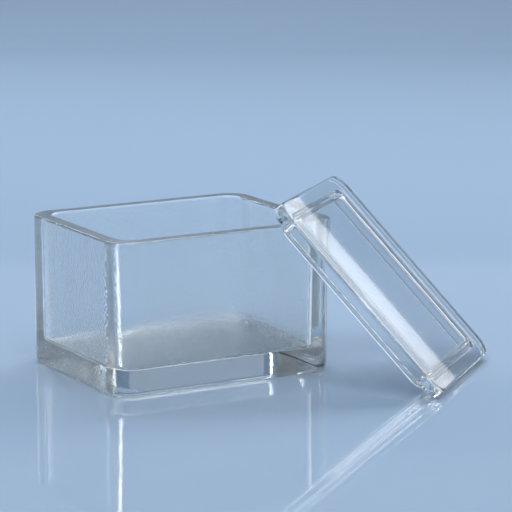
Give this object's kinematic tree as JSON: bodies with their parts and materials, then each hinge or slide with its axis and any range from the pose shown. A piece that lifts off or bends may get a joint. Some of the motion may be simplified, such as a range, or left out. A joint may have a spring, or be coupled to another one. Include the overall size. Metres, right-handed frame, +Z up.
{
  "type": "slide staining dish",
  "caption": "Rectangular clear pressed-glass trough for staining microscope slides, with its flat ribbed glass lid leaning on one corner.",
  "frame": {"origin": "centre of the trough's flat base, on the table", "axes": "+Z up, +X along the trough's long side, -Y towards the side that the leaning lid faces"},
  "size_m": [0.1734, 0.1496, 0.0776],
  "materials": {
    "glass": "clear colourless pressed glass, fire polished, slightly rippled inside"
  },
  "bodies": {
    "root": {"trough": "glass", "lid": "glass"}
  },
  "joints": []
}
